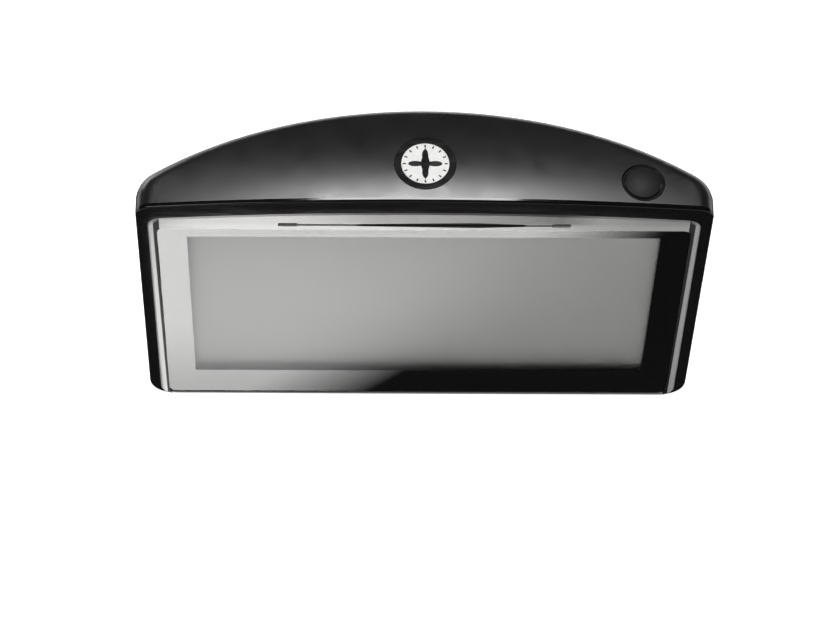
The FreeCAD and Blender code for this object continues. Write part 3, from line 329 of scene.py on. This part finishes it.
def badge_face():
    """Pearl white disc with a ring of division marks and a plain four-pointed rose."""
    g = Graph("badge_face")
    low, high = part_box("badge_disc")
    centre = (low + high) / 2
    shift = g.node("VectorMath", operation="SUBTRACT")
    g.link(g.place(), shift.inputs[0])
    shift.inputs[1].default_value = centre
    axes = g.axes(shift.outputs[0])
    angle = g.math("ARCTAN2", axes["Y"], axes["X"])
    reach = g.node("VectorMath", operation="LENGTH")
    flat = g.node("CombineXYZ")
    g.link(axes["X"], flat.inputs[0])
    g.link(axes["Y"], flat.inputs[1])
    g.link(flat.outputs[0], reach.inputs[0])
    radius = reach.outputs["Value"]
    ticks = g.span(g.math("COSINE", g.math("MULTIPLY", angle, MARK_COUNT)), 0.80, 0.88)
    beyond = g.span(radius, MARK_IN, MARK_IN + SHARP)
    within = g.span(radius, MARK_OUT, MARK_OUT - SHARP)
    marks = g.math("MULTIPLY", ticks, g.math("MULTIPLY", beyond, within))
    petal = g.math("ABSOLUTE", g.math("COSINE", g.math("MULTIPLY", angle, 2.0)))
    point = g.math("MULTIPLY", g.math("POWER", petal, 3.0), NEEDLE_REACH)
    rose = g.span(g.math("SUBTRACT", point, radius), -NEEDLE_CORE, SHARP - NEEDLE_CORE)
    pearl = g.mix(g.span(g.noise(900, 3.0), 0.3, 0.7), (0.80, 0.80, 0.79), (0.90, 0.90, 0.89))
    base = g.mix(g.math("MAXIMUM", marks, rose), pearl, (0.02, 0.02, 0.02))
    g.set(Base_Color=base, Roughness=g.span(g.noise(400), 0.3, 0.7, 0.08, 0.12))
    return g.material


LABEL_FRAME = (0.6 * MM, 0.9 * MM)                      # in from the film's edge
LABEL_MARGIN, RULE_PITCH = 2.0 * MM, 2.0 * MM


def label_film():
    """Brushed silver film with a printed frame and a few plain rules."""
    g = Graph("label_film")
    low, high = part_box("rating_label")
    brush = g.noise(2400, 4.0, 0.65, g.stretch((0.05, 1.0, 1.0)))
    film = g.mix(g.span(brush, 0.3, 0.7), (0.22, 0.22, 0.22), (0.32, 0.32, 0.32))
    axes = g.axes()
    across = g.math("SUBTRACT", high.x, g.math("ABSOLUTE", axes["X"]))
    middle = (low.z + high.z) / 2
    rise = g.math("ABSOLUTE", g.math("SUBTRACT", axes["Z"], middle))
    upward = g.math("SUBTRACT", (high.z - low.z) / 2, rise)
    inside = g.math("MINIMUM", across, upward)
    frame_line = g.math("MULTIPLY", g.span(inside, LABEL_FRAME[0], LABEL_FRAME[0] + SHARP),
                        g.span(inside, LABEL_FRAME[1], LABEL_FRAME[1] - SHARP))
    waves = g.math("SINE", g.math("MULTIPLY", axes["Z"], 2 * math.pi / RULE_PITCH))
    rules = g.math("MULTIPLY", g.span(waves, 0.9, 0.95),
                   g.span(inside, LABEL_MARGIN, LABEL_MARGIN + SHARP))
    printed = g.math("MAXIMUM", frame_line, g.math("MULTIPLY", rules, 0.6))
    g.set(Base_Color=g.mix(printed, film, (0.03, 0.03, 0.03)), Metallic=0.6)
    g.set(Roughness=g.span(brush, 0.3, 0.7, 0.34, 0.46))
    g.bump(brush, 0.2, FINE)
    return g.material


def circuit_board():
    """Green solder resist over copper tracks, with tinned pads."""
    g = Graph("circuit_board")
    tracks = g.node("TexBrick")
    tracks.inputs["Scale"].default_value = 420
    tracks.inputs["Mortar Size"].default_value = 0.035
    turned = g.node("Mapping")
    turned.inputs["Rotation"].default_value = (math.pi / 2, 0, 0)
    g.link(g.place(), turned.inputs["Vector"])
    g.link(turned.outputs["Vector"], tracks.inputs["Vector"])
    copper = g.mix(tracks.outputs["Fac"], (0.012, 0.09, 0.035), (0.03, 0.17, 0.07))
    pads = g.node("TexVoronoi")
    pads.inputs["Scale"].default_value = 260
    g.link(g.place(), pads.inputs["Vector"])
    spots = g.span(pads.outputs["Distance"], 0.16, 0.13)
    base = g.mix(spots, copper, (0.62, 0.62, 0.58))
    g.set(Base_Color=base, Roughness=g.span(g.noise(500), 0.3, 0.7, 0.3, 0.42))
    g.bump(tracks.outputs["Fac"], 0.2, COARSE)
    return g.material


def ceramic(name, colour):
    """Fired ceramic with a fine, chalky grain."""
    g = Graph(name)
    grain = g.noise(3200, 3.0)
    base = g.mix(g.span(grain, 0.35, 0.65), tuple(c * 0.9 for c in colour), colour)
    g.set(Base_Color=base, Roughness=g.span(g.noise(300), 0.3, 0.7, 0.45, 0.6))
    g.bump(grain, 0.2, FINE)
    return g.material


def clear_plastic(name):
    """Slightly hazy clear plastic."""
    g = Graph(name)
    haze = g.noise(800, 3.0)
    g.set(Base_Color=g.mix(g.span(haze, 0.3, 0.7), (0.75, 0.8, 0.76), (0.86, 0.9, 0.87)))
    g.set(Roughness=g.span(haze, 0.3, 0.7, 0.1, 0.2), Transmission_Weight=0.6, IOR=1.49)
    return g.material


def foam(name, colour):
    """Open-celled foam, with painted shade darkening its cells."""
    g = Graph(name)
    cells = g.node("TexVoronoi")
    cells.inputs["Scale"].default_value = 2600
    g.link(g.place(), cells.inputs["Vector"])
    dark = tuple(c * 0.5 for c in colour)
    g.set(Base_Color=g.mix(g.span(cells.outputs["Distance"], 0.1, 0.5), dark, colour))
    g.set(Roughness=g.span(g.noise(400), 0.3, 0.7, 0.85, 0.95))
    g.bump(cells.outputs["Distance"], 0.5, 0.08 * MM)
    return g.material


SATIN_BLACK = (0.0062, 0.0062, 0.0066)
LENS_ROUGHNESS, LENS_INDEX = 0.03, 1.45
WINDOW_ROUGHNESS, WINDOW_INDEX = 0.36, 1.2

# A material for each slot in the record.
MATERIALS = {
    "satin_black": lambda: moulded("satin_black", SATIN_BLACK, 0.30, wear=0.03),
    "gloss_black": lambda: gloss("gloss_black", (0.003, 0.003, 0.0033), 0.05, 0.18),
    "silver_trim": silver_paint,
    "slot_black": lambda: moulded("slot_black", (0.003, 0.003, 0.003), 0.6, specular=0.1),
    "sensor_lens": lambda: gloss("sensor_lens", (0.03, 0.022, 0.03), 0.06),
    "touch_glass": lambda: clear_lens("touch_surface", LENS_ROUGHNESS, LENS_INDEX),
    "border_ink": ink,
    "display_grey": display_face,
    "foam_grey": lambda: foam("foam_grey", (0.05, 0.05, 0.052)),
    "sheet_steel": lambda: metal("sheet_steel", (0.62, 0.62, 0.60), 0.32, (1.0, 1.0, 0.06)),
    "screw_steel": lambda: metal("screw_steel", (0.52, 0.52, 0.51), 0.28),
    "black_screw": lambda: metal("black_screw", (0.07, 0.07, 0.075), 0.36),
    "brass": lambda: metal("brass", (0.80, 0.60, 0.28), 0.26, (1.0, 0.08, 1.0)),
    "gold_contact": lambda: metal("gold_contact", (0.95, 0.72, 0.30), 0.18),
    "board_green": circuit_board,
    "ribbon_amber": lambda: gloss("ribbon_amber", (0.42, 0.18, 0.03), 0.2),
    "socket_white": lambda: moulded("socket_white", (0.62, 0.60, 0.54), 0.45),
    "socket_black": lambda: moulded("socket_black", (0.02, 0.02, 0.02), 0.42),
    "patch_ceramic": lambda: ceramic("patch_ceramic", (0.66, 0.60, 0.46)),
    "cell_foil": lambda: metal("cell_foil", (0.62, 0.63, 0.66), 0.34, (1.0, 1.0, 0.3), 300),
    "cone_paper": lambda: moulded("cone_paper", (0.03, 0.03, 0.03), 0.7, 1500, 0.05 * MM),
    "magnet_ferrite": lambda: metal("magnet_ferrite", (0.2, 0.2, 0.21), 0.4),
    "grille_black": lambda: metal("grille_black", (0.028, 0.028, 0.03), 0.45, metallic=0.3),
    "soft_rubber": lambda: moulded("soft_rubber", (0.014, 0.014, 0.014), 0.62, 1800, 0.03 * MM),
    "clear_pipe": lambda: clear_plastic("clear_pipe"),
    "label_silver": label_film,
    "badge_white": badge_face,
    "badge_black": lambda: gloss("badge_black", (0.005, 0.005, 0.005), 0.07),
    "card_blue": lambda: moulded("card_blue", (0.014, 0.028, 0.085), 0.4),
}

# Nodes that look different from the rest of their slot.
OWN = {
    "power_button": lambda: moulded("button_black", (0.006, 0.006, 0.0065), 0.5, 2200,
                                    specular=0.2),
}


# ---------------------------------------------------------------- smooth shading of CAD nodes
SMOOTH_ANGLE = math.radians(32)
WELD_DISTANCE = 0.001 * MM


def smooth_group(angle):
    """Geometry nodes that weld a CAD mesh and shade it smooth up to an angle."""
    tree = bpy.data.node_groups.new("smooth_by_angle", "GeometryNodeTree")
    tree.interface.new_socket("Geometry", in_out="INPUT", socket_type="NodeSocketGeometry")
    tree.interface.new_socket("Geometry", in_out="OUTPUT", socket_type="NodeSocketGeometry")
    nodes, links = tree.nodes, tree.links
    start, end = nodes.new("NodeGroupInput"), nodes.new("NodeGroupOutput")
    weld = nodes.new("GeometryNodeMergeByDistance")
    weld.inputs["Distance"].default_value = WELD_DISTANCE
    whole = nodes.new("GeometryNodeSetShadeSmooth")
    whole.domain = "FACE"
    split = nodes.new("GeometryNodeSetShadeSmooth")
    split.domain = "EDGE"
    split.inputs["Shade Smooth"].default_value = False
    corner = nodes.new("GeometryNodeInputMeshEdgeAngle")
    over = nodes.new("FunctionNodeCompare")
    over.data_type = "FLOAT"
    over.operation = "GREATER_THAN"
    over.inputs[1].default_value = angle
    links.new(start.outputs[0], weld.inputs["Geometry"])
    links.new(weld.outputs["Geometry"], whole.inputs["Geometry"])
    links.new(whole.outputs["Geometry"], split.inputs["Geometry"])
    links.new(corner.outputs["Unsigned Angle"], over.inputs[0])
    links.new(over.outputs["Result"], split.inputs["Selection"])
    links.new(split.outputs["Geometry"], end.inputs[0])
    return tree


def finish_nodes():
    """Gives every CAD node its material and smooth shading."""
    smooth = smooth_group(SMOOTH_ANGLE)
    made = {}
    for part in frame["record"]["subparts"]:
        slot_name = part["material_slot"]
        if slot_name not in made:
            made[slot_name] = MATERIALS[slot_name]()
        node = frame["nodes"][part["node"]]
        if part["node"] in OWN:
            slot_name = part["node"]
            made[slot_name] = OWN[slot_name]()
        node.data.materials.clear()
        node.data.materials.append(made[slot_name])
        node.modifiers.new("smooth", "NODES").node_group = smooth
        flat = node.modifiers.new("flat", "WEIGHTED_NORMAL")
        flat.keep_sharp = True


# ---------------------------------------------------------------- the lens, in two finishes
def rounded_outline(low, high, radius, steps=10):
    """A rectangle with round corners, anticlockwise from the front, as (x, z) pairs."""
    points = []
    centres = ((high.x - radius, low.z + radius, -90), (high.x - radius, high.z - radius, 0),
               (low.x + radius, high.z - radius, 90), (low.x + radius, low.z + radius, 180))
    for x, z, start in centres:
        for step in range(steps + 1):
            angle = math.radians(start + 90 * step / steps)
            points.append((x + radius * math.cos(angle), z + radius * math.sin(angle)))
    return points


def plate(name, loops, front, back, material):
    """A flat plate between two depths, with its first loop outside and the rest as holes."""
    flat = [[Vector((x, z, 0)) for x, z in loop] for loop in loops]
    triangles = tessellate_polygon(flat)
    spots = [point for loop in flat for point in loop]
    count = len(spots)
    points = [(p.x, front, p.y) for p in spots] + [(p.x, back, p.y) for p in spots]
    faces = []
    for a, b, c in triangles:
        turn = (spots[b] - spots[a]).cross(spots[c] - spots[a]).z
        a, b, c = (a, b, c) if turn > 0 else (a, c, b)
        faces += [(a, b, c), (c + count, b + count, a + count)]
    start = 0
    for index, loop in enumerate(loops):
        size = len(loop)
        for step in range(size):
            a, b = start + step, start + (step + 1) % size
            wall = (a, a + count, b + count, b)
            faces.append(wall if index == 0 else wall[::-1])
        start += size
    mesh = bpy.data.meshes.new(name)
    mesh.from_pydata(points, [], faces)
    mesh.materials.append(material)
    piece = bpy.data.objects.new(name, mesh)
    bpy.context.scene.collection.objects.link(piece)
    return piece


LENS_CORNER = 1.7 * MM
GASKET_TO_WINDOW = 1.15 * MM


def add_lens():
    """The touch lens: a polished border round an anti-glare window."""
    low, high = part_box("touch_glass")
    border_low, border_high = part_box("display_gasket")
    left, right = border_low.x + GASKET_TO_WINDOW, border_high.x - GASKET_TO_WINDOW
    foot, top = border_low.z + GASKET_TO_WINDOW, border_high.z - GASKET_TO_WINDOW
    pane = [(left, foot), (right, foot), (right, top), (left, top)]
    outline = rounded_outline(low, high, LENS_CORNER)
    border = plate("lens_border", [outline, pane[::-1]], low.y, high.y,
                   clear_lens("lens_gloss", LENS_ROUGHNESS, LENS_INDEX))
    middle = plate("lens_window", [pane], low.y, high.y,
                   clear_lens("lens_anti_glare", WINDOW_ROUGHNESS, WINDOW_INDEX))
    for piece in (border, middle):
        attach(piece, "housing")
        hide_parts("touch_glass")


# ---------------------------------------------------------------- camera, floor and lights
def look_along(azimuth, elevation, roll):
    """The camera's axes for a view of the front, from the left-right and up-down angles."""
    a, e, r = (math.radians(v) for v in (azimuth, elevation, roll))
    back = Vector((math.sin(a) * math.cos(e), -math.cos(a) * math.cos(e), math.sin(e)))
    right = Vector((0, 0, 1)).cross(back).normalized()
    up = back.cross(right)
    right, up = (math.cos(r) * right + math.sin(r) * up,
                 math.cos(r) * up - math.sin(r) * right)
    return Matrix((right, up, back)).transposed()


CAMERA_PLACE = (-0.016742, -0.39672, 0.68468)
CAMERA_AZIMUTH, CAMERA_ELEVATION, CAMERA_ROLL = -2.27, 59.32, 2.20      # degrees
CAMERA_LENS, CAMERA_SENSOR = 153.96, 36.0                               # millimetres


def add_camera():
    """The photograph's view, solved on the corners of the display window."""
    data = bpy.data.cameras.new("camera")
    data.sensor_width = CAMERA_SENSOR
    data.lens = CAMERA_LENS
    camera = bpy.data.objects.new("camera", data)
    turn = look_along(CAMERA_AZIMUTH, CAMERA_ELEVATION, CAMERA_ROLL)
    camera.matrix_world = Matrix.Translation(CAMERA_PLACE) @ turn.to_4x4()
    bpy.context.scene.collection.objects.link(camera)
    bpy.context.scene.camera = camera


def flat_sheet(name, side, near, far, level):
    """A flat rectangle over the floor, centred left to right."""
    mesh = bpy.data.meshes.new(name)
    corners = [(-side, near, level), (side, near, level), (side, far, level), (-side, far, level)]
    mesh.from_pydata(corners, [], [(0, 1, 2, 3)])
    return bpy.data.objects.new(name, mesh)


FLOOR_REACH = 4.0
FLOOR_LEVEL = -0.2 * MM     # just under the base, so that the two don't lie in one plane
FLOOR_GLOW = 0.72           # brings the paper to the photograph's white


def add_floor():
    """Plain pale paper."""
    floor = flat_sheet("floor", FLOOR_REACH, -FLOOR_REACH, FLOOR_REACH, FLOOR_LEVEL)
    g = Graph("floor_paper")
    base = g.mix(g.span(g.noise(3, 2.0), 0.3, 0.7), (0.93, 0.93, 0.93), (0.95, 0.95, 0.95))
    g.set(Base_Color=base, Roughness=0.9, Specular_IOR_Level=0.1)
    g.set(Emission_Color=(1.0, 1.0, 1.0), Emission_Strength=FLOOR_GLOW)
    floor.data.materials.append(g.material)
    bpy.context.scene.collection.objects.link(floor)


def only_in_reflections(card):
    """Hides a stage card from everything but reflections."""
    for kind in ("camera", "diffuse", "transmission", "volume_scatter", "shadow"):
        setattr(card, "visible_" + kind, False)
    bpy.context.scene.collection.objects.link(card)


CARD_SIDE, CARD_NEAR = 0.16, -0.13
CARD_POWER, CARD_REST = 9.0, 0.06                       # glow of the bright part and of the rest
CARD_SLANT = 1.6                                        # how far the bands lean across the card
CARD_FULL, CARD_BRIGHT, CARD_DARK = -0.15, -0.060, -0.032
CARD_CUT = (-0.0580, -0.0567)                           # nearest edge of the bright part
CARD_LEFT, CARD_LEFT_LEAN = (-0.0551, -0.0541), 0.099   # its left edge, which leans
CARD_FADE = (-0.014, -0.030)                            # a little weaker close to the case


def add_card():
    """A graded card on the floor that only reflections see: bright left, dark right."""
    card = flat_sheet("reflection_card", CARD_SIDE, CARD_NEAR, FRONT, 0)
    g = Graph("card_glow")
    axes = g.axes()
    across = g.math("ADD", axes["X"], g.math("MULTIPLY", axes["Y"], CARD_SLANT))
    glow = g.span(across, CARD_BRIGHT, CARD_DARK, 1.0, 0.0)
    glow = g.math("MULTIPLY", glow, g.span(across, CARD_FULL, CARD_BRIGHT, 1.0, 0.8))
    glow = g.math("MULTIPLY", glow, g.span(axes["Y"], *CARD_CUT))
    side = g.math("SUBTRACT", axes["X"], g.math("MULTIPLY", axes["Y"], CARD_LEFT_LEAN))
    glow = g.math("MULTIPLY", glow, g.span(side, *CARD_LEFT))
    glow = g.math("MULTIPLY", glow, g.span(axes["Y"], *CARD_FADE, 0.7, 1.0))
    g.set(Base_Color=(0, 0, 0), Roughness=1.0, Specular_IOR_Level=0.0)
    g.set(Emission_Color=(1.0, 0.995, 0.985))
    g.set(Emission_Strength=g.math("ADD", g.math("MULTIPLY", glow, CARD_POWER), CARD_REST))
    card.data.materials.append(g.material)
    only_in_reflections(card)


DARK_SIDE, DARK_FAR, DARK_LEVEL = 0.16, 0.10, -0.1 * MM
DARK_GLOW = 0.04


def add_dark_card():
    """A dark card round the case, so that its rounded edges reflect black, not the floor."""
    card = flat_sheet("dark_card", DARK_SIDE, FRONT, DARK_FAR, DARK_LEVEL)
    g = Graph("dark_paper")
    g.set(Base_Color=g.mix(g.noise(40), (0.01, 0.01, 0.01), (0.02, 0.02, 0.02)), Roughness=1.0)
    g.set(Specular_IOR_Level=0.0, Emission_Color=(1.0, 1.0, 1.0), Emission_Strength=DARK_GLOW)
    card.data.materials.append(g.material)
    only_in_reflections(card)


WORLD_GLOW = 0.06


def add_world():
    """A dim, even surround."""
    world = bpy.data.worlds.new("studio")
    bpy.context.scene.world = world
    world.use_nodes = True
    background = world.node_tree.nodes["Background"]
    background.inputs["Color"].default_value = (1, 1, 1, 1)
    background.inputs["Strength"].default_value = WORLD_GLOW


# Name, place, target, width and height in metres, and power in watts.
LIGHTS = (
    ("top_softbox", (0.015, 0.40, 1.10), (0, 0, 0.08), (0.24, 0.24), 7.6),
    ("back_fill", (-0.9, 1.3, 0.22), (0, 0, 0.04), (0.7, 0.36), 5.0),
    ("front_fill", (-0.7, -1.3, 1.3), (0, 0, 0.04), (0.9, 0.9), 22.0),
)


def area_light(name, place, target, size, power):
    """A rectangular softbox, aimed at a point, that the camera doesn't see."""
    data = bpy.data.lights.new(name, "AREA")
    data.shape = "RECTANGLE"
    data.size, data.size_y = size
    data.energy = power
    light = bpy.data.objects.new(name, data)
    aim = (Vector(target) - Vector(place)).to_track_quat("-Z", "Y")
    light.matrix_world = Matrix.Translation(place) @ aim.to_matrix().to_4x4()
    light.visible_camera = False
    bpy.context.scene.collection.objects.link(light)


finish_nodes()
add_lens()
add_floor()
add_card()
add_dark_card()
add_world()
for light in LIGHTS:
    area_light(*light)
add_camera()
bpy.context.scene.view_settings.view_transform = "Standard"
